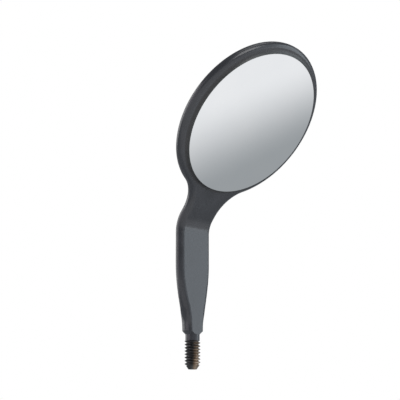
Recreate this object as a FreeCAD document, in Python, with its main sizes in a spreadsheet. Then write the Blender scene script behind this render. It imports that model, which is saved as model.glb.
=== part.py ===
import FreeCAD, Part

import math
import os

import Sketcher

# Mouth mirror head: a moulded frame (round head, short neck, bent flat stem) that carries a round
# front-surface mirror and ends in a metal insert with a male thread for the handle.
#
# Row frame, in millimetres: the origin is on the thread axis, where the conical shoulder under the
# stem meets the collar. +Z runs up the stem, X is the width, and the mirror looks along -Y and down.
#
# The "mirror frame" has its origin in the centre of the reflecting face, +Z along the outward
# normal of that face and +Y up the head, away from the neck.

SIZES = [
    # reflecting disc
    ("glass_radius", 10.85, "radius of the glass disc"),
    ("glass_thickness", 1.07, "thickness of the glass disc"),
    ("glass_bevel", 0.12, "bevel round the front edge of the glass"),
    ("coating_thickness", 0.03, "reflecting film on the front of the glass"),
    ("adhesive_thickness", 0.08, "adhesive bed under the glass"),
    ("seal_width", 0.20, "gap round the glass, filled by the seal"),
    ("seal_lip", 0.15, "how far the seal's bead lies over the rim"),
    ("seal_hollow", 0.60, "radius of the bead's hollow face"),
    ("glass_proud", 0.38, "how far the reflecting face stands above the rim"),
    # head, neck and bend
    ("head_radius", 12.0, "largest radius of the head"),
    ("plate_thickness", 1.5, "thickness of head, neck and upper stem"),
    ("mirror_tilt", 38.7, "angle of the face normal below the horizontal, degrees"),
    ("mirror_forward", 11.5, "face centre in front of the thread axis"),
    ("mirror_height", 28.3, "face centre above the shoulder"),
    ("neck_half_width", 3.1, "half width of the neck and upper stem"),
    ("flare_radius", 5.2, "radius between the neck and the head"),
    ("bend_radius", 3.2, "inner radius of the bend between stem and neck"),
    ("neck_trim", 17.0, "where the head outline ends, below the face centre"),
    ("stem_trim", 16.5, "where the stem outline ends, above the shoulder"),
    # edges
    ("bevel_width", 0.22, "steep bevel from front to side, measured across the plate"),
    ("bevel_depth", 0.60, "the same bevel, measured through the plate"),
    ("crease_radius", 0.75, "rounding of the front crease"),
    ("side_radius", 0.35, "rounding where the bevel meets the side"),
    ("back_radius", 0.80, "rounding of the back edge"),
    # stem
    ("stem_front", 0.70, "front face of the upper stem, before the axis"),
    ("foot_half_depth", 0.93, "front and back face of the foot, from the axis"),
    ("waist_low", 1.5, "height where the foot starts to thin"),
    ("waist_high", 7.5, "height where the stem has its plate thickness"),
    ("leaf_upper_radius", 20.0, "convex side curve of the stem"),
    ("leaf_lower_radius", 15.0, "concave side curve of the stem"),
    ("leaf_height", 10.0, "height where the stem has its full width"),
    ("foot_radius", 1.47, "round foot of the stem"),
    ("foot_round_height", 0.9, "height where the round foot starts to widen"),
    ("foot_sweep_radius", 6.5, "curve from the round foot to the flat stem"),
    ("foot_sweep_angle", 47.0, "angle of that curve, degrees"),
    ("shoulder_height", 0.47, "height of the conical shoulder"),
    ("collar_radius", 1.0, "moulded collar over the neck of the insert"),
    ("collar_length", 0.9, "length of the collar"),
    # threaded insert, M2.2 x 0.45
    ("thread_radius", 1.1, "crest radius"),
    ("thread_pitch", 0.45, "pitch"),
    ("thread_end", 4.10, "end of the full thread, below the shoulder"),
    ("tip_end", 4.85, "end of the tip, below the shoulder"),
    ("tip_radius", 0.58, "radius of the flat tip"),
    ("insert_neck_radius", 0.62, "undercut that the collar fills"),
    ("insert_neck_top", 0.20, "end of the undercut, above the shoulder"),
    ("anchor_radius", 0.52, "rings of the anchor inside the stem"),
    ("anchor_core_radius", 0.40, "grooves between the rings"),
    ("anchor_start", 0.80, "first ring, above the shoulder"),
    ("anchor_ring_step", 0.90, "distance from ring to ring"),
    ("anchor_flat", 0.44, "half distance between the anchor's two flats"),
    # sizes that only clear the work
    ("stock", 14.0, "half width of the blank that the outlines are cut from"),
]
ANCHOR_RINGS = 5
THREAD_DEPTH_IN_PITCHES = 0.6134
CREST_FLAT_IN_PITCHES = 0.125
CUTTER_CLEARANCE_IN_PITCHES = 0.05
FLANK_ANGLE = 30.0
RIM_TOLERANCE = 0.02
SKETCH_X_AXIS = -1
SKETCH_Y_AXIS = -2
TURN_ABOUT_X = FreeCAD.Placement(FreeCAD.Vector(), FreeCAD.Rotation(FreeCAD.Vector(1, 0, 0), 1))

doc = FreeCAD.newDocument("mouth_mirror_head")
sheet = doc.addObject("Spreadsheet::Sheet", "Sizes")
for row, (alias, value, note) in enumerate(SIZES, start=1):
    sheet.set(f"A{row}", str(value))
    sheet.setAlias(f"A{row}", alias)
    sheet.set(f"B{row}", note)
doc.recompute()


def size(alias):
    """The number in the sheet's cell of that name."""
    return float(getattr(sheet, alias))


def sine(degrees):
    return math.sin(math.radians(degrees))


def cosine(degrees):
    return math.cos(math.radians(degrees))


def new_body(label):
    body = doc.addObject("PartDesign::Body", label)
    body.Label = label
    return body


def origin_feature(body, role):
    """One of the body's own origin planes or axes."""
    return [f for f in body.Origin.OriginFeatures if f.Role == role][0]


def new_sketch(body, name, plane):
    sketch = body.newObject("Sketcher::SketchObject", name)
    sketch.AttachmentSupport = [(origin_feature(body, plane), "")]
    sketch.MapMode = "FlatFace"
    return sketch


def put_in_mirror_frame(thing, prefix):
    """Turns and moves a body, or a sketch on the XY plane, into the mirror frame."""
    thing.setExpression(prefix + ".Base.y", "-Sizes.mirror_forward")
    thing.setExpression(prefix + ".Base.z", "Sizes.mirror_height")
    thing.setExpression(prefix + ".Rotation.Angle", "90 + Sizes.mirror_tilt")


def vector(point):
    return FreeCAD.Vector(point[0], point[1], 0)


def add_line(sketch, start, end):
    return sketch.addGeometry(Part.LineSegment(vector(start), vector(end)), False)


def add_arc(sketch, centre, radius, from_degrees, to_degrees):
    """A counterclockwise arc."""
    circle = Part.Circle(vector(centre), FreeCAD.Vector(0, 0, 1), radius)
    arc = Part.ArcOfCircle(circle, math.radians(from_degrees), math.radians(to_degrees))
    return sketch.addGeometry(arc, False)


def constrain(sketch, kind, *args):
    return sketch.addConstraint(Sketcher.Constraint(kind, *args))


def drive(sketch, kind, args, value, expression):
    """A dimension whose value follows the sheet."""
    index = constrain(sketch, kind, *args, value)
    sketch.setExpression(f"Constraints[{index}]", expression)


def place(sketch, geometry, end, x_expression, y_expression, point):
    """Ties one end of a line or arc to a place given by two expressions. None leaves one free."""
    if x_expression is not None:
        drive(sketch, "DistanceX", (geometry, end), point[0], x_expression)
    if y_expression is not None:
        drive(sketch, "DistanceY", (geometry, end), point[1], y_expression)


def polygon(sketch, corners):
    """A closed outline of straight lines. A corner is (x, y, x expression, y expression)."""
    count = len(corners)
    lines = []
    for i in range(count):
        lines.append(add_line(sketch, corners[i][:2], corners[(i + 1) % count][:2]))
    for i in range(count):
        constrain(sketch, "Coincident", lines[i], 2, lines[(i + 1) % count], 1)
    for line, corner in zip(lines, corners):
        place(sketch, line, 1, corner[2], corner[3], corner)
    return lines


def disc(sketch, radius, expression):
    """A circle round the sketch's origin."""
    circle = Part.Circle(FreeCAD.Vector(0, 0, 0), FreeCAD.Vector(0, 0, 1), radius)
    index = sketch.addGeometry(circle, False)
    constrain(sketch, "Coincident", index, 3, -1, 1)
    drive(sketch, "Radius", (index,), radius, expression)


def pad(body, sketch, name, expression, reverse=False, both_ways=False):
    feature = body.newObject("PartDesign::Pad", name)
    feature.Profile = sketch
    feature.setExpression("Length", expression)
    feature.Reversed = reverse
    feature.Midplane = both_ways
    doc.recompute()
    return feature


def revolve(body, sketch, name, kind):
    """A full turn of a sketch on the XZ plane, or in the mirror frame, round the sketch's upright axis."""
    feature = body.newObject(kind, name)
    feature.Profile = sketch
    feature.ReferenceAxis = (sketch, ["V_Axis"])
    feature.Angle = 360
    doc.recompute()
    return feature


def must_remove(feature, before):
    """A cut that points away from the solid removes nothing and shows no error."""
    if feature.Shape.Volume > before - 1e-3:
        raise SystemExit(f"{feature.Label} removes nothing")


def rim_edges(shape, radius, height):
    """Names of the edges that run round the mirror's axis at that radius and height above its face."""
    normal = FreeCAD.Vector(0, -cosine(size("mirror_tilt")), -sine(size("mirror_tilt")))
    centre = FreeCAD.Vector(0, -size("mirror_forward"), size("mirror_height"))
    names = []
    for number, edge in enumerate(shape.Edges, start=1):
        middle = edge.valueAt((edge.FirstParameter + edge.LastParameter) / 2)
        arms = [point - centre for point in (edge.Vertexes[0].Point, middle, edge.Vertexes[-1].Point)]
        rises = [arm.dot(normal) for arm in arms]
        radii = [(arm - normal * rise).Length for arm, rise in zip(arms, rises)]
        misses = [abs(r - radius) for r in radii] + [abs(rise - height) for rise in rises]
        if max(misses) < RIM_TOLERANCE:
            names.append(f"Edge{number}")
    if not names:
        raise SystemExit(f"no edge of radius {radius} at height {height}")
    return names


def side_profile(sketch):
    """The bent plate seen from the side (x is Y, y is Z): foot, stem, bend, neck and head."""
    tilt = size("mirror_tilt")
    front = size("stem_front")
    thickness = size("plate_thickness")
    foot = size("foot_half_depth")
    low = size("waist_low")
    high = size("waist_high")
    bend = size("bend_radius")
    reach = size("stock")
    back = thickness - front
    middle = (low + high) / 2

    def on_face(down, depth):
        """A point of the tilted plate: down the head from the face centre, and behind the face."""
        y = -size("mirror_forward") + depth * cosine(tilt) + down * sine(tilt)
        z = size("mirror_height") + depth * sine(tilt) - down * cosine(tilt)
        return y, z

    def waist_radius(step):
        return ((high - low) ** 2 / 4 + step**2 / 4) / step

    proud = size("glass_proud")
    turn = 90 - tilt
    corner_down = (size("mirror_forward") - proud * cosine(tilt) - front) / sine(tilt)
    corner_z = on_face(corner_down, proud)[1]
    bend_z = corner_z - bend * math.tan(math.radians(turn / 2))
    centre = (-front - bend, bend_z)
    front_end = (centre[0] + bend * cosine(turn), centre[1] + bend * sine(turn))
    outer = bend + thickness
    back_end = (centre[0] + outer * cosine(turn), centre[1] + outer * sine(turn))
    top_front = on_face(-reach, proud)
    top_back = on_face(-reach, proud + thickness)

    front_radius = waist_radius(foot - front)
    back_radius = waist_radius(foot - back)
    front_half = math.degrees(math.asin((high - low) / 2 / front_radius))
    back_half = math.degrees(math.asin((high - low) / 2 / back_radius))

    foot_front = add_line(sketch, (-foot, 0), (-foot, low))
    front_lower = add_arc(sketch, (-foot + front_radius, low), front_radius, 180 - front_half, 180)
    front_upper = add_arc(sketch, (-front - front_radius, high), front_radius, -front_half, 0)
    stem_front = add_line(sketch, (-front, high), (-front, bend_z))
    front_bend = add_arc(sketch, centre, bend, 0, turn)
    face = add_line(sketch, front_end, top_front)
    top = add_line(sketch, top_front, top_back)
    rear = add_line(sketch, top_back, back_end)
    back_bend = add_arc(sketch, centre, outer, 0, turn)
    stem_back = add_line(sketch, (back, bend_z), (back, high))
    back_upper = add_arc(sketch, (back + back_radius, high), back_radius, 180, 180 + back_half)
    back_lower = add_arc(sketch, (foot - back_radius, low), back_radius, 0, back_half)
    foot_back = add_line(sketch, (foot, low), (foot, 0))
    bottom = add_line(sketch, (foot, 0), (-foot, 0))

    for a, a_end, b, b_end in (
        (foot_front, 2, front_lower, 2),
        (front_lower, 1, front_upper, 1),
        (front_upper, 2, stem_front, 1),
        (stem_front, 2, front_bend, 1),
        (front_bend, 2, face, 1),
        (rear, 2, back_bend, 2),
        (back_bend, 1, stem_back, 1),
        (stem_back, 2, back_upper, 1),
        (back_upper, 2, back_lower, 2),
        (back_lower, 1, foot_back, 1),
    ):
        constrain(sketch, "Tangent", a, a_end, b, b_end)
    for a, b in ((face, top), (top, rear), (foot_back, bottom), (bottom, foot_front)):
        constrain(sketch, "Coincident", a, 2, b, 1)
    for line in (foot_front, stem_front, stem_back, foot_back):
        constrain(sketch, "Vertical", line)
    constrain(sketch, "Horizontal", bottom)
    constrain(sketch, "Parallel", face, rear)
    constrain(sketch, "Perpendicular", face, top)
    constrain(sketch, "Equal", front_lower, front_upper)
    constrain(sketch, "Equal", back_upper, back_lower)

    place(sketch, foot_front, 1, "-Sizes.foot_half_depth", "0", (-foot, 0))
    place(sketch, foot_back, 2, "Sizes.foot_half_depth", None, (foot, 0))
    place(sketch, foot_front, 2, None, "Sizes.waist_low", (-foot, low))
    place(sketch, foot_back, 1, None, "Sizes.waist_low", (foot, low))
    place(sketch, stem_front, 1, "-Sizes.stem_front", "Sizes.waist_high", (-front, high))
    place(sketch, stem_back, 2, "Sizes.plate_thickness - Sizes.stem_front", "Sizes.waist_high", (back, high))
    drive(sketch, "Radius", (front_bend,), bend, "Sizes.bend_radius")
    drive(sketch, "Radius", (back_bend,), outer, "Sizes.bend_radius + Sizes.plate_thickness")
    along = "Sizes.stock"
    depth = "Sizes.glass_proud"
    cos_tilt = "cos(Sizes.mirror_tilt)"
    sin_tilt = "sin(Sizes.mirror_tilt)"
    y_top = f"-Sizes.mirror_forward + {depth} * {cos_tilt} - {along} * {sin_tilt}"
    z_top = f"Sizes.mirror_height + {depth} * {sin_tilt} + {along} * {cos_tilt}"
    place(sketch, face, 2, y_top, z_top, top_front)
    drive(sketch, "Distance", (top,), thickness, "Sizes.plate_thickness")
    drive(sketch, "Angle", (face,), math.radians(90 + tilt), "90 + Sizes.mirror_tilt")


def beside_stem(sketch):
    """What is cut away beside the leaf-shaped stem, on the +X side (x is X, y is Z)."""
    wide = size("neck_half_width")
    leaf = size("leaf_height")
    upper = size("leaf_upper_radius")
    lower = size("leaf_lower_radius")
    reach = size("stock")
    top = size("stem_trim")
    half = math.degrees(math.asin(leaf / (upper + lower)))
    narrow = wide - (upper + lower) * (1 - cosine(half))

    convex = add_arc(sketch, (wide - upper, leaf), upper, -half, 0)
    concave = add_arc(sketch, (narrow + lower, 0), lower, 180 - half, 180)
    edge = add_line(sketch, (wide, leaf), (wide, top))
    above = add_line(sketch, (wide, top), (reach, top))
    outside = add_line(sketch, (reach, top), (reach, 0))
    below = add_line(sketch, (reach, 0), (narrow, 0))

    constrain(sketch, "Tangent", concave, 1, convex, 1)
    constrain(sketch, "Tangent", convex, 2, edge, 1)
    constrain(sketch, "Coincident", edge, 2, above, 1)
    constrain(sketch, "Coincident", above, 2, outside, 1)
    constrain(sketch, "Coincident", outside, 2, below, 1)
    constrain(sketch, "Perpendicular", concave, 2, below, 2)
    for line in (edge, outside):
        constrain(sketch, "Vertical", line)
    for line in (above, below):
        constrain(sketch, "Horizontal", line)
    drive(sketch, "Radius", (convex,), upper, "Sizes.leaf_upper_radius")
    drive(sketch, "Radius", (concave,), lower, "Sizes.leaf_lower_radius")
    place(sketch, edge, 1, "Sizes.neck_half_width", "Sizes.leaf_height", (wide, leaf))
    place(sketch, outside, 1, "Sizes.stock", "Sizes.stem_trim", (reach, top))
    place(sketch, outside, 2, None, "0", (reach, 0))


def around_head(sketch):
    """What is cut away round the head and the neck (mirror frame, y runs up the head)."""
    head = size("head_radius")
    wide = size("neck_half_width")
    flare = size("flare_radius")
    reach = size("stock")
    low = -size("neck_trim")
    across = wide + flare
    flare_y = -math.sqrt((head + flare) ** 2 - across**2)
    lean = math.degrees(math.atan2(-flare_y, across))

    right = add_line(sketch, (wide, low), (wide, flare_y))
    right_flare = add_arc(sketch, (across, flare_y), flare, 180 - lean, 180)
    turns = (-lean, 0, 90, 180, 180 + lean)
    rim = [add_arc(sketch, (0, 0), head, a, b) for a, b in zip(turns, turns[1:])]
    left_flare = add_arc(sketch, (-across, flare_y), flare, 0, lean)
    left = add_line(sketch, (-wide, flare_y), (-wide, low))
    corners = ((-wide, low), (-reach, low), (-reach, reach), (reach, reach), (reach, low), (wide, low))
    frame = [add_line(sketch, a, b) for a, b in zip(corners, corners[1:])]

    for a, a_end, b, b_end in (
        (right, 2, right_flare, 2),
        (right_flare, 1, rim[0], 1),
        (rim[-1], 2, left_flare, 2),
        (left_flare, 1, left, 1),
    ):
        constrain(sketch, "Tangent", a, a_end, b, b_end)
    for a, b, axis in zip(rim, rim[1:], (SKETCH_X_AXIS, SKETCH_Y_AXIS, SKETCH_X_AXIS)):
        constrain(sketch, "Coincident", a, 2, b, 1)
        constrain(sketch, "PointOnObject", b, 1, axis)
    for arc in rim:
        constrain(sketch, "Coincident", arc, 3, -1, 1)
    chain = [left] + frame + [right]
    for a, b in zip(chain, chain[1:]):
        constrain(sketch, "Coincident", a, 2, b, 1)
    constrain(sketch, "Equal", right_flare, left_flare)
    drive(sketch, "Radius", (rim[0],), head, "Sizes.head_radius")
    drive(sketch, "Radius", (right_flare,), flare, "Sizes.flare_radius")
    for line in (right, left, frame[1], frame[3]):
        constrain(sketch, "Vertical", line)
    for line in (frame[0], frame[2], frame[4]):
        constrain(sketch, "Horizontal", line)
    place(sketch, left, 2, "-Sizes.neck_half_width", "-Sizes.neck_trim", (-wide, low))
    place(sketch, right, 1, "Sizes.neck_half_width", "-Sizes.neck_trim", (wide, low))
    place(sketch, frame[1], 2, "-Sizes.stock", "Sizes.stock", (-reach, reach))
    place(sketch, frame[3], 1, "Sizes.stock", None, (reach, reach))


def outside_foot(sketch):
    """What is turned off the foot: conical shoulder, round foot, sweep out to the flat stem."""
    collar = size("collar_radius")
    foot = size("foot_radius")
    shoulder = size("shoulder_height")
    start = size("foot_round_height")
    sweep = size("foot_sweep_radius")
    angle = size("foot_sweep_angle")
    reach = size("stock")
    centre = (foot + sweep, start)
    sweep_end = (centre[0] - sweep * cosine(angle), start + sweep * sine(angle))

    cone = add_line(sketch, (collar, 0), (foot, shoulder))
    round_foot = add_line(sketch, (foot, shoulder), (foot, start))
    curve = add_arc(sketch, centre, sweep, 180 - angle, 180)
    above = add_line(sketch, sweep_end, (reach, sweep_end[1]))
    outside = add_line(sketch, (reach, sweep_end[1]), (reach, 0))
    below = add_line(sketch, (reach, 0), (collar, 0))

    constrain(sketch, "Coincident", cone, 2, round_foot, 1)
    constrain(sketch, "Tangent", round_foot, 2, curve, 2)
    constrain(sketch, "Coincident", curve, 1, above, 1)
    constrain(sketch, "Coincident", above, 2, outside, 1)
    constrain(sketch, "Coincident", outside, 2, below, 1)
    constrain(sketch, "Coincident", below, 2, cone, 1)
    for line in (round_foot, outside):
        constrain(sketch, "Vertical", line)
    for line in (above, below):
        constrain(sketch, "Horizontal", line)
    place(sketch, cone, 1, "Sizes.collar_radius", "0", (collar, 0))
    place(sketch, round_foot, 1, "Sizes.foot_radius", "Sizes.shoulder_height", (foot, shoulder))
    place(sketch, round_foot, 2, None, "Sizes.foot_round_height", (foot, start))
    drive(sketch, "Radius", (curve,), sweep, "Sizes.foot_sweep_radius")
    sweep_z = "Sizes.foot_round_height + Sizes.foot_sweep_radius * sin(Sizes.foot_sweep_angle)"
    place(sketch, outside, 1, "Sizes.stock", sweep_z, (reach, sweep_end[1]))


def shape_frame(body):
    """The moulded frame, before the insert's cavity is taken out of it."""
    sketch = new_sketch(body, "side_outline", "YZ_Plane")
    side_profile(sketch)
    slab = pad(body, sketch, "bent_slab", "2 * Sizes.stock", both_ways=True)

    sketch = new_sketch(body, "stem_outline", "XZ_Plane")
    beside_stem(sketch)
    stem_cut = body.newObject("PartDesign::Pocket", "stem_side")
    stem_cut.Profile = sketch
    stem_cut.Type = "ThroughAll"
    stem_cut.Midplane = True
    doc.recompute()
    must_remove(stem_cut, slab.Shape.Volume)
    both_sides = body.newObject("PartDesign::Mirrored", "stem_sides")
    both_sides.Originals = [stem_cut]
    both_sides.MirrorPlane = (origin_feature(body, "YZ_Plane"), [""])
    body.Tip = both_sides
    doc.recompute()
    must_remove(both_sides, stem_cut.Shape.Volume)

    sketch = new_sketch(body, "head_outline", "XY_Plane")
    sketch.AttachmentOffset = TURN_ABOUT_X
    put_in_mirror_frame(sketch, "AttachmentOffset")
    around_head(sketch)
    head_cut = body.newObject("PartDesign::Pocket", "head_and_neck")
    head_cut.Profile = sketch
    head_cut.Type = "ThroughAll"
    head_cut.Midplane = True
    head_cut.Refine = False
    doc.recompute()
    must_remove(head_cut, both_sides.Shape.Volume)
    return finish_edges(body, head_cut)


def finish_edges(body, blank):
    """Bevels and rounds the long edges. Each runs on along the stem from the seed edge on the head."""
    proud = size("glass_proud")
    bevel = body.newObject("PartDesign::Chamfer", "front_bevel")
    bevel.Base = (blank, rim_edges(blank.Shape, size("head_radius"), -proud))
    bevel.ChamferType = "Two distances"
    bevel.setExpression("Size", "Sizes.bevel_width")
    bevel.setExpression("Size2", "Sizes.bevel_depth")
    doc.recompute()
    must_remove(bevel, blank.Shape.Volume)

    crease = body.newObject("PartDesign::Fillet", "front_crease")
    crease.Base = (bevel, rim_edges(bevel.Shape, size("head_radius") - size("bevel_width"), -proud))
    crease.setExpression("Radius", "Sizes.crease_radius")
    doc.recompute()
    must_remove(crease, bevel.Shape.Volume)

    shoulder = body.newObject("PartDesign::Fillet", "side_edge")
    shoulder.Base = (crease, rim_edges(crease.Shape, size("head_radius"), -proud - size("bevel_depth")))
    shoulder.setExpression("Radius", "Sizes.side_radius")
    doc.recompute()
    must_remove(shoulder, crease.Shape.Volume)

    back = body.newObject("PartDesign::Fillet", "back_edge")
    back.Base = (shoulder, rim_edges(shoulder.Shape, size("head_radius"), -proud - size("plate_thickness")))
    back.setExpression("Radius", "Sizes.back_radius")
    doc.recompute()
    must_remove(back, shoulder.Shape.Volume)
    return back


def shape_foot(body, stem):
    """Turns the foot round, adds the collar under it, and sinks the seat for the glass."""
    sketch = new_sketch(body, "foot_outline", "XZ_Plane")
    outside_foot(sketch)
    foot = revolve(body, sketch, "round_foot", "PartDesign::Groove")
    must_remove(foot, stem.Shape.Volume)

    sketch = new_sketch(body, "collar_outline", "XY_Plane")
    disc(sketch, size("collar_radius"), "Sizes.collar_radius")
    collar = pad(body, sketch, "collar", "Sizes.collar_length", reverse=True)

    sketch = new_sketch(body, "seat_outline", "XY_Plane")
    sketch.AttachmentOffset = TURN_ABOUT_X
    put_in_mirror_frame(sketch, "AttachmentOffset")
    disc(sketch, size("glass_radius") + size("seal_width"), "Sizes.glass_radius + Sizes.seal_width")
    seat = body.newObject("PartDesign::Pocket", "glass_seat")
    seat.Profile = sketch
    seat.setExpression(
        "Length", "Sizes.coating_thickness + Sizes.glass_thickness + Sizes.adhesive_thickness"
    )
    doc.recompute()
    must_remove(seat, collar.Shape.Volume)


def shape_insert(body):
    """Anchor with rings and two flats, undercut neck, thread and bevelled tip, on the Z axis."""
    core = ("anchor_core_radius", size("anchor_core_radius"))
    ring = ("anchor_radius", size("anchor_radius"))
    thread = ("thread_radius", size("thread_radius"))
    neck = ("insert_neck_radius", size("insert_neck_radius"))
    neck_top = size("insert_neck_top")
    collar_end = -size("collar_length")
    corners = [
        (0, -size("tip_end"), "0", "-Sizes.tip_end"),
        (size("tip_radius"), -size("tip_end"), "Sizes.tip_radius", "-Sizes.tip_end"),
        (thread[1], -size("thread_end"), "Sizes." + thread[0], "-Sizes.thread_end"),
        (thread[1], collar_end, "Sizes." + thread[0], "-Sizes.collar_length"),
        (neck[1], collar_end, "Sizes." + neck[0], "-Sizes.collar_length"),
        (neck[1], neck_top, "Sizes." + neck[0], "Sizes.insert_neck_top"),
        (core[1], neck_top, "Sizes." + core[0], "Sizes.insert_neck_top"),
    ]
    for number in range(ANCHOR_RINGS):
        for part_of_step, inner, outer in ((0, core, ring), (0.5, ring, core)):
            steps = number + part_of_step
            height = size("anchor_start") + steps * size("anchor_ring_step")
            height_expression = f"Sizes.anchor_start + {steps} * Sizes.anchor_ring_step"
            corners.append((inner[1], height, "Sizes." + inner[0], height_expression))
            corners.append((outer[1], height, "Sizes." + outer[0], height_expression))
    corners[-1] = (0, corners[-1][1], "0", corners[-1][3])

    sketch = new_sketch(body, "insert_outline", "XZ_Plane")
    polygon(sketch, corners)
    turned = revolve(body, sketch, "turned_blank", "PartDesign::Revolution")

    sketch = new_sketch(body, "flat_outline", "XZ_Plane")
    flat = size("anchor_flat")
    clear = size("collar_radius")
    high = size("anchor_start") + ANCHOR_RINGS * size("anchor_ring_step")
    high_expression = f"Sizes.anchor_start + {ANCHOR_RINGS} * Sizes.anchor_ring_step"
    polygon(
        sketch,
        [
            (flat, neck_top, "Sizes.anchor_flat", "Sizes.insert_neck_top"),
            (clear, neck_top, "Sizes.collar_radius", "Sizes.insert_neck_top"),
            (clear, high, "Sizes.collar_radius", high_expression),
            (flat, high, "Sizes.anchor_flat", high_expression),
        ],
    )
    flat_cut = body.newObject("PartDesign::Pocket", "anchor_flat")
    flat_cut.Profile = sketch
    flat_cut.Type = "ThroughAll"
    flat_cut.Midplane = True
    doc.recompute()
    must_remove(flat_cut, turned.Shape.Volume)
    flats = body.newObject("PartDesign::Mirrored", "anchor_flats")
    flats.Originals = [flat_cut]
    flats.MirrorPlane = (origin_feature(body, "YZ_Plane"), [""])
    body.Tip = flats
    doc.recompute()
    must_remove(flats, flat_cut.Shape.Volume)
    cut_thread(body, flats)


def cut_thread(body, blank):
    """A 60 degree groove wound down the blank, from above its upper end to below the tip."""
    pitch = size("thread_pitch")
    slope = math.tan(math.radians(FLANK_ANGLE))
    root = size("thread_radius") - THREAD_DEPTH_IN_PITCHES * pitch
    clear = size("thread_radius") + CUTTER_CLEARANCE_IN_PITCHES * pitch
    crest_gap = (1 - CREST_FLAT_IN_PITCHES) * pitch
    half_root = crest_gap / 2 - THREAD_DEPTH_IN_PITCHES * pitch * slope
    half_clear = crest_gap / 2 + CUTTER_CLEARANCE_IN_PITCHES * pitch * slope
    start = pitch - size("collar_length")

    pitch_word = "Sizes.thread_pitch"
    root_x = f"Sizes.thread_radius - {THREAD_DEPTH_IN_PITCHES} * {pitch_word}"
    clear_x = f"Sizes.thread_radius + {CUTTER_CLEARANCE_IN_PITCHES} * {pitch_word}"
    middle = f"{pitch_word} - Sizes.collar_length"
    gap = f"{(1 - CREST_FLAT_IN_PITCHES) / 2} * {pitch_word}"
    root_half = f"{gap} - {THREAD_DEPTH_IN_PITCHES} * {pitch_word} * tan({FLANK_ANGLE})"
    clear_half = f"{gap} + {CUTTER_CLEARANCE_IN_PITCHES} * {pitch_word} * tan({FLANK_ANGLE})"

    sketch = new_sketch(body, "groove_outline", "XZ_Plane")
    polygon(
        sketch,
        [
            (root, start - half_root, root_x, f"{middle} - ({root_half})"),
            (clear, start - half_clear, clear_x, f"{middle} - ({clear_half})"),
            (clear, start + half_clear, clear_x, f"{middle} + ({clear_half})"),
            (root, start + half_root, root_x, f"{middle} + ({root_half})"),
        ],
    )
    groove = body.newObject("PartDesign::SubtractiveHelix", "thread_groove")
    groove.Profile = sketch
    groove.ReferenceAxis = (sketch, ["V_Axis"])
    groove.Mode = "pitch-height-angle"
    groove.setExpression("Pitch", pitch_word)
    groove.setExpression("Height", f"Sizes.tip_end - Sizes.collar_length + 2 * {pitch_word}")
    groove.Reversed = True
    doc.recompute()
    must_remove(groove, blank.Shape.Volume)


def mirror_body(label):
    """A body that lies in the mirror frame."""
    body = new_body(label)
    body.Placement = TURN_ABOUT_X
    put_in_mirror_frame(body, "Placement")
    return body


def layer(label, radius, radius_expression, top_expression, thickness_expression):
    """A disc behind the reflecting face: its top surface's depth, then its thickness."""
    body = mirror_body(label)
    sketch = new_sketch(body, label + "_outline", "XY_Plane")
    sketch.setExpression("AttachmentOffset.Base.z", f"-({top_expression})")
    disc(sketch, radius, radius_expression)
    pad(body, sketch, label + "_disc", thickness_expression, reverse=True)
    return body


def bevel_glass(body):
    """Breaks the front edge of the glass disc."""
    disc_pad = body.Tip
    depth = size("coating_thickness")
    bevel = body.newObject("PartDesign::Chamfer", "glass_edge")
    names = []
    for number, edge in enumerate(disc_pad.Shape.Edges, start=1):
        if edge.Curve.TypeId == "Part::GeomCircle" and abs(edge.Curve.Center.z + depth) < 1e-3:
            names.append(f"Edge{number}")
    bevel.Base = (disc_pad, names)
    bevel.setExpression("Size", "Sizes.glass_bevel")
    doc.recompute()
    must_remove(bevel, disc_pad.Shape.Volume)


def shape_seal(body):
    """Fills the gap round the glass, and lies as a hollow-curved bead between glass and rim."""
    inner = size("glass_radius")
    outer = inner + size("seal_width")
    lip = outer + size("seal_lip")
    bottom = -size("coating_thickness") - size("glass_thickness") - size("adhesive_thickness")
    rim = -size("glass_proud")
    crown = -size("coating_thickness") - size("glass_bevel")
    hollow = size("seal_hollow")

    bottom_word = "-(Sizes.coating_thickness + Sizes.glass_thickness + Sizes.adhesive_thickness)"
    outer_word = "Sizes.glass_radius + Sizes.seal_width"
    corners = (
        (inner, crown, "Sizes.glass_radius", "-(Sizes.coating_thickness + Sizes.glass_bevel)"),
        (inner, bottom, "Sizes.glass_radius", bottom_word),
        (outer, bottom, outer_word, bottom_word),
        (outer, rim, outer_word, "-Sizes.glass_proud"),
        (lip, rim, outer_word + " + Sizes.seal_lip", "-Sizes.glass_proud"),
    )
    sketch = new_sketch(body, "seal_outline", "XZ_Plane")
    lines = [add_line(sketch, a[:2], b[:2]) for a, b in zip(corners, corners[1:])]
    for a, b in zip(lines, lines[1:]):
        constrain(sketch, "Coincident", a, 2, b, 1)
    for line, corner in zip(lines, corners):
        place(sketch, line, 1, corner[2], corner[3], corner)
    place(sketch, lines[-1], 2, corners[-1][2], corners[-1][3], corners[-1])

    run = lip - inner
    drop = crown - rim
    chord = math.hypot(run, drop)
    off = math.sqrt(hollow**2 - chord**2 / 4)
    centre = ((inner + lip) / 2 + off * drop / chord, (crown + rim) / 2 + off * run / chord)
    start = math.degrees(math.atan2(crown - centre[1], inner - centre[0])) % 360
    end = math.degrees(math.atan2(rim - centre[1], lip - centre[0])) % 360
    bead = add_arc(sketch, centre, hollow, start, end)
    constrain(sketch, "Coincident", bead, 1, lines[0], 1)
    constrain(sketch, "Coincident", bead, 2, lines[-1], 2)
    drive(sketch, "Radius", (bead,), hollow, "Sizes.seal_hollow")
    revolve(body, sketch, "seal_ring", "PartDesign::Revolution")


frame_blank = new_body("frame_blank")
shape_foot(frame_blank, shape_frame(frame_blank))

threaded_insert = new_body("threaded_insert")
shape_insert(threaded_insert)

moulded_frame = doc.addObject("Part::Cut", "moulded_frame")
moulded_frame.Label = "moulded_frame"
moulded_frame.Base = frame_blank
moulded_frame.Tool = threaded_insert

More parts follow.
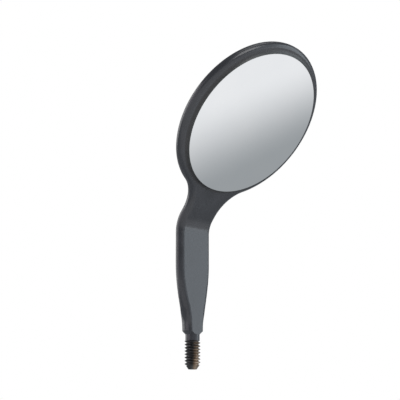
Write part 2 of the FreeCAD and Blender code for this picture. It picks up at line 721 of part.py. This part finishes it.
mirror_coating = layer(
    "mirror_coating",
    size("glass_radius") - size("glass_bevel"),
    "Sizes.glass_radius - Sizes.glass_bevel",
    "0",
    "Sizes.coating_thickness",
)
mirror_glass = layer(
    "mirror_glass",
    size("glass_radius"),
    "Sizes.glass_radius",
    "Sizes.coating_thickness",
    "Sizes.glass_thickness",
)
bevel_glass(mirror_glass)
glass_adhesive = layer(
    "glass_adhesive",
    size("glass_radius"),
    "Sizes.glass_radius",
    "Sizes.coating_thickness + Sizes.glass_thickness",
    "Sizes.adhesive_thickness",
)
edge_seal = mirror_body("edge_seal")
shape_seal(edge_seal)
doc.recompute()

for thing in doc.Objects:
    if "Invalid" in thing.State or "Error" in thing.State:
        raise SystemExit(f"{thing.Label} has failed: {thing.State}")

os.makedirs("parts", exist_ok=True)
for piece in (moulded_frame, threaded_insert, mirror_coating, mirror_glass, glass_adhesive, edge_seal):
    if piece.Shape.isNull() or not piece.Shape.isValid() or len(piece.Shape.Solids) != 1:
        raise SystemExit(f"{piece.Label} isn't one valid solid")
    piece.Shape.exportStep(f"parts/{piece.Label}.step")
    print(piece.Label, round(piece.Shape.Volume, 3))
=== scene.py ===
import math

import bpy
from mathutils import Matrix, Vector

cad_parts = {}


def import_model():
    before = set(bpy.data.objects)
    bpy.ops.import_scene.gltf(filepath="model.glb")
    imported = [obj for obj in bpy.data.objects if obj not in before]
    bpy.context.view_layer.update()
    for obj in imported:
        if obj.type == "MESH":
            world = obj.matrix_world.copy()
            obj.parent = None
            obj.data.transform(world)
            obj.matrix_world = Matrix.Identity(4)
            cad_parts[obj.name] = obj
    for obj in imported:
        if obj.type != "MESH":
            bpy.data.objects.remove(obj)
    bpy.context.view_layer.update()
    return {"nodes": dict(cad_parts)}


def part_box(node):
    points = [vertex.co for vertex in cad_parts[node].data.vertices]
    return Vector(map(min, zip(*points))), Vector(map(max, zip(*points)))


# Looks of the mouth mirror head. Places and lengths are in metres, in the row frame: the thread axis is Z,
# the conical shoulder is at the origin, and the mirror looks along -Y and down. Angles are in degrees. An
# azimuth of 0 is -Y, and 90 is +X.

MM = 0.001

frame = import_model()
NODES = frame["nodes"]

insert_low, insert_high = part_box("threaded_insert")

# Camera: below the mirror's height and looking slightly up at it, from the front left. The focal length is
# in millimetres.
CAMERA_AT = Vector((-120.67, -113.56, -13.94)) * MM
CAMERA_AZIMUTH = -47.1
CAMERA_ELEVATION = -11.32
FOCAL_LENGTH = 106.05
CLIP_START = 0.01
CLIP_END = 20

WHITE = (1.0, 1.0, 1.0)
BLUISH = (0.84, 0.93, 1.0)
PURPLISH = (1.0, 0.89, 1.0)

# Softboxes stand round LIT_PLACE, near the middle of the part. A row is a name, azimuth, elevation, distance
# from LIT_PLACE, width, height, radiance and colour. Radiance 1 looks paper white in a perfect mirror.
LIT_PLACE = Vector((0, -8, 18)) * MM
SOFTBOXES = (
    ("right_box", 49, 11, 0.40, 0.24, 0.40, 1.60, BLUISH),
    ("inner_box", 18, 11, 0.42, 0.14, 0.36, 0.60, BLUISH),
    ("left_box", -112, 12, 0.40, 0.28, 0.36, 0.75, PURPLISH),
    ("back_left_box", -162, 15, 0.40, 0.30, 0.40, 1.40, WHITE),
    ("front_box", -8, 30, 0.42, 0.22, 0.20, 3.40, WHITE),
    ("top_box", 20, 75, 0.45, 0.30, 0.30, 1.00, WHITE),
)

# The floor is white paper that glows a little of itself.
FLOOR_Z = -115.0 * MM
FLOOR_SIZE = 6.0
FLOOR_GLOW = 0.42

# The card lies flat between the floor and the part, pale in front and grey behind. The two blend under the
# head, about a line that is turned from the X axis towards the front.
CARD_Z = -35.0 * MM
CARD_SIZE = 4.0
CARD_TURN = 26.57
CARD_MIDDLE = 12.3 * MM
CARD_BLEND = 18.0 * MM
CARD_GREY = (0.335, 0.355, 0.370)
CARD_PALE = (0.870, 0.875, 0.890)

# The room's own even light, which the camera doesn't see.
ROOM_COLOUR = (0.92, 0.96, 1.0)
ROOM_STRENGTH = 0.24

# Most looks spread over this stretch of a noise, where most of its values lie.
NOISE_LOW = 0.3
NOISE_HIGH = 0.7

# A Mix node's colour sockets, which share their names with its number sockets.
MIX_A = 6
MIX_B = 7
MIX_RESULT = 2


class Material:
    """A Principled material, with short ways to add the nodes that drive it."""

    def __init__(self, name):
        self.material = bpy.data.materials.new(name)
        self.material.use_nodes = True
        self.tree = self.material.node_tree
        self.shader = self.tree.nodes["Principled BSDF"]
        self.place = self.node("ShaderNodeTexCoord").outputs["Object"]

    def node(self, kind, **settings):
        made = self.tree.nodes.new(kind)
        for name, value in settings.items():
            setattr(made, name, value)
        return made

    def link(self, source, target):
        self.tree.links.new(source, target)

    def set(self, **values):
        """Fixed values on the shader's own sockets: an underscore stands for a space."""
        for name, value in values.items():
            self.shader.inputs[name.replace("_", " ")].default_value = value

    def axes(self):
        """The place's X, Y and Z, one by one."""
        split = self.node("ShaderNodeSeparateXYZ")
        self.link(self.place, split.inputs["Vector"])
        return split.outputs["X"], split.outputs["Y"], split.outputs["Z"]

    def stretched(self, scale):
        """The place with its X, Y and Z scaled, so that a noise is drawn out where the scale is small."""
        mapping = self.node("ShaderNodeMapping")
        mapping.inputs["Scale"].default_value = scale
        self.link(self.place, mapping.inputs["Vector"])
        return mapping.outputs["Vector"]

    def noise(self, grain, detail=3.0, roughness=0.5, distortion=0.0, place=None):
        """Noise whose features are about grain metres across."""
        made = self.node("ShaderNodeTexNoise")
        made.inputs["Scale"].default_value = 1 / grain
        made.inputs["Detail"].default_value = detail
        made.inputs["Roughness"].default_value = roughness
        made.inputs["Distortion"].default_value = distortion
        self.link(self.place if place is None else place, made.inputs["Vector"])
        return made.outputs["Fac"]

    def ramp(self, value, *stops):
        """Colour ramp over the value. A stop is (position, (r, g, b))."""
        made = self.node("ShaderNodeValToRGB")
        elements = made.color_ramp.elements
        while len(elements) < len(stops):
            elements.new(1.0)
        for element, (position, colour) in zip(elements, stops):
            element.position = position
            element.color = (*colour, 1)
        self.link(value, made.inputs["Fac"])
        return made.outputs["Color"]

    def between(self, value, low, high, from_low=0.0, from_high=1.0, curve="LINEAR"):
        """The value's stretch from from_low to from_high, laid out from low to high."""
        made = self.node("ShaderNodeMapRange", interpolation_type=curve)
        for name, number in (
            ("From Min", from_low),
            ("From Max", from_high),
            ("To Min", low),
            ("To Max", high),
        ):
            made.inputs[name].default_value = number
        self.link(value, made.inputs["Value"])
        return made.outputs["Result"]

    def combine(self, a, b, operation="ADD"):
        """The two put together: each is a socket or a number."""
        made = self.node("ShaderNodeMath", operation=operation)
        for value, socket in ((a, made.inputs[0]), (b, made.inputs[1])):
            if isinstance(value, (int, float)):
                socket.default_value = value
            else:
                self.link(value, socket)
        return made.outputs["Value"]

    def mix(self, factor, a, b):
        """Mixes two colours: each is a socket or an (r, g, b)."""
        made = self.node("ShaderNodeMix", data_type="RGBA")
        self.link(factor, made.inputs["Factor"])
        for value, socket in ((a, made.inputs[MIX_A]), (b, made.inputs[MIX_B])):
            if isinstance(value, tuple):
                socket.default_value = (*value, 1)
            else:
                self.link(value, socket)
        return made.outputs[MIX_RESULT]

    def bump(self, *layers):
        """Bump from (height socket, height in metres) layers, one on another."""
        normal = None
        for height, distance in layers:
            made = self.node("ShaderNodeBump")
            made.inputs["Strength"].default_value = 1.0
            made.inputs["Distance"].default_value = distance
            self.link(height, made.inputs["Height"])
            if normal is not None:
                self.link(normal, made.inputs["Normal"])
            normal = made.outputs["Normal"]
        self.link(normal, self.shader.inputs["Normal"])

    def to(self, source, name):
        """Links the source to the shader's socket of that name."""
        self.link(source, self.shader.inputs[name])

    def mottle(self, noise, dark, light):
        """Base colour that runs from dark to light with the noise."""
        self.to(self.ramp(noise, (NOISE_LOW, dark), (NOISE_HIGH, light)), "Base Color")

    def roughen(self, noise, low, high):
        """Roughness that runs from low to high with the noise."""
        self.to(self.between(noise, low, high, NOISE_LOW, NOISE_HIGH), "Roughness")


def moulded_plastic():
    """Satin black plastic: fine moulded grain, slow flow shading, a few handling scuffs."""
    m = Material("frame_plastic")
    flow = m.noise(4 * MM, detail=4, distortion=0.6)
    grain = m.noise(0.06 * MM, detail=2)
    waviness = m.noise(2.2 * MM, detail=1)
    scuffs = m.noise(0.5 * MM, detail=6, roughness=0.7, place=m.stretched((1, 1, 0.12)))
    m.mottle(flow, (0.026, 0.0275, 0.032), (0.033, 0.035, 0.041))
    satin = m.between(flow, 0.20, 0.27, NOISE_LOW, NOISE_HIGH)
    scuffed = m.between(scuffs, 0.0, 0.10, 0.55, 0.75)
    m.to(m.combine(satin, scuffed), "Roughness")
    m.bump((waviness, 0.01 * MM), (grain, 0.0007 * MM))
    m.set(IOR=1.5)
    return m.material


def turned_metal():
    """Dark oxidised thread, worn to a warm brown towards the tip and on the crests; the brown is painted only
    on the +X and -Y side, facing the right-hand softbox, so it is partly a painted highlight.
    """
    m = Material("insert_metal")
    x, y, z = m.axes()
    flat = m.node("ShaderNodeCombineXYZ")
    m.link(x, flat.inputs["X"])
    m.link(y, flat.inputs["Y"])
    from_axis = m.node("ShaderNodeVectorMath", operation="LENGTH")
    m.link(flat.outputs["Vector"], from_axis.inputs[0])
    radius = insert_high.x
    crest = m.between(from_axis.outputs["Value"], 0.0, 1.0, 0.80 * radius, 0.99 * radius)
    wear_starts = -1.2 * MM
    lower = m.between(z, 0.0, 1.0, wear_starts, insert_low.z)
    # Painted highlight: the +X and -Y side, which faces the right-hand softbox, is drawn lighter and browner
    # than the rest.
    painted_lit_side = m.between(m.combine(x, y, "SUBTRACT"), 0.0, 1.0, -0.3 * MM, 0.7 * MM, "SMOOTHSTEP")
    blotches = m.noise(0.7 * MM, detail=5, roughness=0.65)
    rubbed = m.combine(m.between(lower, 0.2, 0.75), m.between(crest, 0.0, 0.25))
    # Crest and tip wear shows only on that painted lit side, and random blotches add to it everywhere.
    wear_and_painted_sheen = m.combine(m.combine(rubbed, painted_lit_side, "MULTIPLY"), m.between(blotches, -0.15, 0.35))
    tool_marks = m.noise(0.05 * MM, detail=2, place=m.stretched((1, 1, 6)))
    oxide = (0.085, 0.086, 0.086)
    # Brown and the lightest colour show mostly on the painted lit side, so they are worn metal and painted
    # highlight together.
    brown = (0.24, 0.18, 0.13)
    bare_and_sheen = (0.56, 0.46, 0.37)
    m.to(m.ramp(wear_and_painted_sheen, (0.2, oxide), (0.6, brown), (1.0, bare_and_sheen)), "Base Color")
    m.roughen(blotches, 0.24, 0.46)
    m.bump((blotches, 0.012 * MM), (tool_marks, 0.003 * MM))
    m.set(Metallic=1.0)
    return m.material


def reflecting_film():
    """Polished metal film: nearly perfect, with a breath of haze."""
    m = Material("reflecting_film")
    haze = m.noise(6 * MM, detail=5, roughness=0.6)
    m.mottle(haze, (0.90, 0.915, 0.925), (0.93, 0.94, 0.945))
    m.to(m.between(haze, 0.012, 0.035, 0.35, NOISE_HIGH), "Roughness")
    m.bump((m.noise(9 * MM, detail=1), 0.0004 * MM))
    m.set(Metallic=1.0)
    return m.material


def mirror_glass():
    """Dark glass, about a third of it clear. The film covers its face, so only its bevel shows."""
    m = Material("mirror_glass")
    ground = m.noise(0.6 * MM, detail=2)
    m.mottle(ground, (0.026, 0.031, 0.030), (0.038, 0.044, 0.042))
    m.roughen(ground, 0.35, 0.5)
    m.bump((ground, 0.002 * MM))
    m.set(Transmission_Weight=0.35, IOR=1.52)
    return m.material


def adhesive():
    """Cloudy, warm grey cement under the glass."""
    m = Material("adhesive")
    cloud = m.noise(1.5 * MM, detail=4)
    m.mottle(cloud, (0.20, 0.19, 0.17), (0.30, 0.29, 0.26))
    m.roughen(cloud, 0.45, 0.65)
    m.bump((cloud, 0.01 * MM))
    return m.material


def seal_rubber():
    """Black sealing compound, drawn smooth with a tool."""
    m = Material("seal_rubber")
    lumps = m.noise(0.8 * MM, detail=3)
    grain = m.noise(0.08 * MM, detail=2)
    m.mottle(lumps, (0.016, 0.016, 0.018), (0.024, 0.024, 0.026))
    m.roughen(lumps, 0.34, 0.5)
    m.bump((lumps, 0.008 * MM), (grain, 0.001 * MM))
    return m.material


def dress(node, material):
    mesh = NODES[node].data
    mesh.materials.clear()
    mesh.materials.append(material)


dress("moulded_frame", moulded_plastic())
dress("threaded_insert", turned_metal())
dress("mirror_coating", reflecting_film())
dress("mirror_glass", mirror_glass())
dress("glass_adhesive", adhesive())
dress("edge_seal", seal_rubber())


def direction(azimuth, elevation):
    """Unit vector out towards that azimuth and elevation."""
    turn = math.radians(azimuth)
    rise = math.radians(elevation)
    return Vector((math.sin(turn) * math.cos(rise), -math.cos(turn) * math.cos(rise), math.sin(rise)))


def aim(thing, towards):
    """Points a camera or light along the direction."""
    thing.rotation_euler = towards.to_track_quat("-Z", "Y").to_euler()


def softbox(name, azimuth, elevation, distance, width, height, radiance, colour):
    """A rectangular light that faces LIT_PLACE. Its radiance is its power over four times its area."""
    data = bpy.data.lights.new(name, "AREA")
    data.shape = "RECTANGLE"
    data.size = width
    data.size_y = height
    data.energy = 4 * width * height * radiance
    data.color = colour
    light = bpy.data.objects.new(name, data)
    bpy.context.scene.collection.objects.link(light)
    towards = direction(azimuth, elevation)
    light.location = LIT_PLACE + towards * distance
    aim(light, -towards)
    light.visible_camera = False


for row in SOFTBOXES:
    softbox(*row)


def sheet(name, size, z=0.0):
    """A flat square sheet, centred on its object's Z axis, with its corners at height z."""
    h = size / 2
    mesh = bpy.data.meshes.new(name)
    mesh.from_pydata([(-h, -h, z), (h, -h, z), (h, h, z), (-h, h, z)], [], [(0, 1, 2, 3)])
    made = bpy.data.objects.new(name, mesh)
    bpy.context.scene.collection.objects.link(made)
    return made


def floor():
    """White paper, faintly mottled by its fibres."""
    ground = sheet("floor", FLOOR_SIZE, FLOOR_Z)
    m = Material("floor_paper")
    m.mottle(m.noise(3 * MM, detail=4), (0.80, 0.80, 0.80), (0.83, 0.83, 0.83))
    m.set(Roughness=0.9, Emission_Color=(*WHITE, 1), Emission_Strength=FLOOR_GLOW)
    ground.data.materials.append(m.material)


floor()


def gradient_card():
    """A graded card over the floor that only reflections see."""
    card = sheet("gradient_card", CARD_SIZE)
    turn = math.radians(CARD_TURN)
    across = Vector((math.sin(turn), math.cos(turn), 0))
    card.rotation_euler = (0, 0, -turn)
    card.location = Vector((0, 0, CARD_Z)) - across * CARD_MIDDLE
    m = Material("graded_card")
    m.tree.nodes.remove(m.shader)
    _, card_y, _ = m.axes()
    blend = m.between(card_y, 0.0, 1.0, CARD_BLEND / 2, -CARD_BLEND / 2, "SMOOTHSTEP")
    glow = m.node("ShaderNodeEmission")
    m.link(m.mix(blend, CARD_GREY, CARD_PALE), glow.inputs["Color"])
    m.link(glow.outputs["Emission"], m.tree.nodes["Material Output"].inputs["Surface"])
    card.data.materials.append(m.material)
    card.visible_camera = False
    card.visible_diffuse = False
    card.visible_shadow = False
    card.visible_transmission = False


gradient_card()


def background(tree, colour, strength):
    made = tree.nodes.new("ShaderNodeBackground")
    made.inputs["Color"].default_value = (*colour, 1)
    made.inputs["Strength"].default_value = strength
    return made.outputs["Background"]


def world():
    """White where the camera looks past everything, and the room's dim light for all other rays."""
    scene_world = bpy.data.worlds.new("studio")
    scene_world.use_nodes = True
    tree = scene_world.node_tree
    tree.nodes.clear()
    seen = background(tree, WHITE, 1.0)
    lighting = background(tree, ROOM_COLOUR, ROOM_STRENGTH)
    path = tree.nodes.new("ShaderNodeLightPath")
    mix = tree.nodes.new("ShaderNodeMixShader")
    out = tree.nodes.new("ShaderNodeOutputWorld")
    tree.links.new(path.outputs["Is Camera Ray"], mix.inputs["Fac"])
    tree.links.new(lighting, mix.inputs[1])
    tree.links.new(seen, mix.inputs[2])
    tree.links.new(mix.outputs["Shader"], out.inputs["Surface"])
    bpy.context.scene.world = scene_world


world()


def camera():
    data = bpy.data.cameras.new("camera")
    data.lens = FOCAL_LENGTH
    data.clip_start = CLIP_START
    data.clip_end = CLIP_END
    made = bpy.data.objects.new("camera", data)
    bpy.context.scene.collection.objects.link(made)
    made.location = CAMERA_AT
    aim(made, -direction(CAMERA_AZIMUTH, CAMERA_ELEVATION))
    bpy.context.scene.camera = made


camera()
bpy.context.scene.view_settings.view_transform = "Standard"
